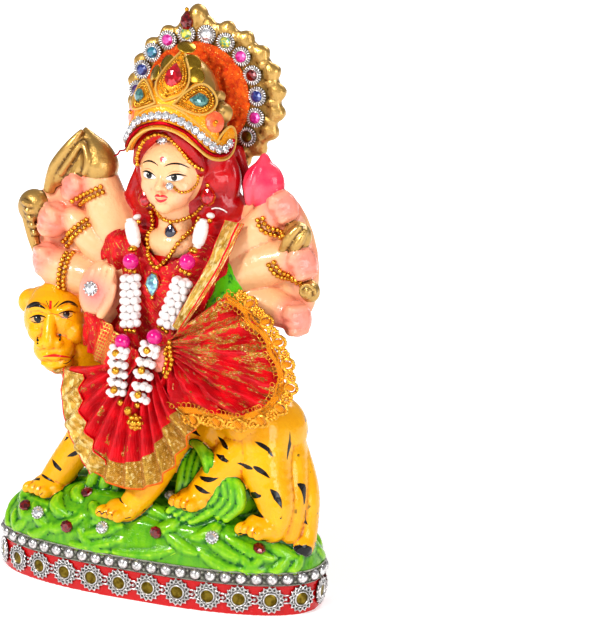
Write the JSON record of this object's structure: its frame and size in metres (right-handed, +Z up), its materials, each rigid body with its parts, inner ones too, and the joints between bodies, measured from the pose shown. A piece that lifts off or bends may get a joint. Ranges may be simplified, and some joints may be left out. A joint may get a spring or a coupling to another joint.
{
  "type": "durga figure",
  "caption": "Painted plaster figure of a seated many-armed goddess riding a tiger on an oval grassy plinth, dressed in pleated cloth, beads, stones and stone-set trims.",
  "frame": {"origin": "middle of the plinth's flat underside", "axes": "+Z up, the goddess looks along -Y, +X to the viewer's right, the tiger's head towards -X"},
  "size_m": [0.1326, 0.0604, 0.2176],
  "materials": {
    "painted_plaster": "glossy enamel paint on cast plaster: cream skin, yellow tiger, green grass, gold and red details",
    "red_cloth": "red satin and foil, pleated, with gold foil folds",
    "gold_cloth": "gold ribbon with red edges",
    "gold_lace": "yellow-orange braid with gold loops",
    "crown_cloth": "padded gold and dark red work with cords and sequins",
    "orange_velvet": "fuzzy pile with gold sparkle",
    "silver_trim": "silver settings and domes",
    "white_beads": "glossy white, pink and gold beads",
    "gold_beads": "polished gold balls",
    "clear_stones": "cut clear stones with foil backs",
    "garnet_stones": "cut dark red stones with foil backs",
    "teal_stones": "cut teal stones with foil backs",
    "black_stones": "polished black"
  },
  "bodies": {
    "root": {"durga_tiger_casting": "painted_plaster", "side_skirt_fan": "red_cloth", "front_skirt": "red_cloth", "lace_trim": "gold_lace", "chest_wrap": "red_cloth", "diagonal_sash": "gold_cloth", "lap_cloth": "red_cloth", "shoulder_cloth": "red_cloth", "crown_panel": "crown_cloth", "halo_velvet": "orange_velvet", "halo_stone_chain": "silver_trim", "rosette_trim": "silver_trim", "pearl_trim": "silver_trim", "bead_garland": "white_beads", "short_necklace": "gold_beads", "long_necklace": "gold_beads", "black_pendant": "black_stones", "drop_pendant": "teal_stones", "crown_centre_stone": "garnet_stones", "crown_right_stone": "teal_stones", "crown_left_stone": "teal_stones", "crown_rhinestones": "clear_stones", "finial_stone": "garnet_stones", "tikka_stone": "clear_stones", "forehead_chain": "gold_beads", "nose_stone": "clear_stones", "nose_chain": "gold_beads", "left_earring": "garnet_stones", "right_earring": "garnet_stones", "palm_stone": "clear_stones", "upper_left_bangle": "gold_beads", "middle_left_bangle": "gold_beads", "lower_left_bangle": "gold_beads", "upper_right_bangle": "gold_beads", "middle_right_bangle": "gold_beads", "lap_bangle": "gold_beads", "clear_grass_stone_1": "clear_stones", "clear_grass_stone_2": "clear_stones", "clear_grass_stone_3": "clear_stones", "clear_grass_stone_4": "clear_stones", "garnet_grass_stone_1": "garnet_stones", "garnet_grass_stone_2": "garnet_stones", "garnet_grass_stone_3": "garnet_stones", "garnet_grass_stone_4": "garnet_stones", "garnet_grass_stone_5": "garnet_stones", "garnet_grass_stone_6": "garnet_stones"}
  },
  "joints": []
}
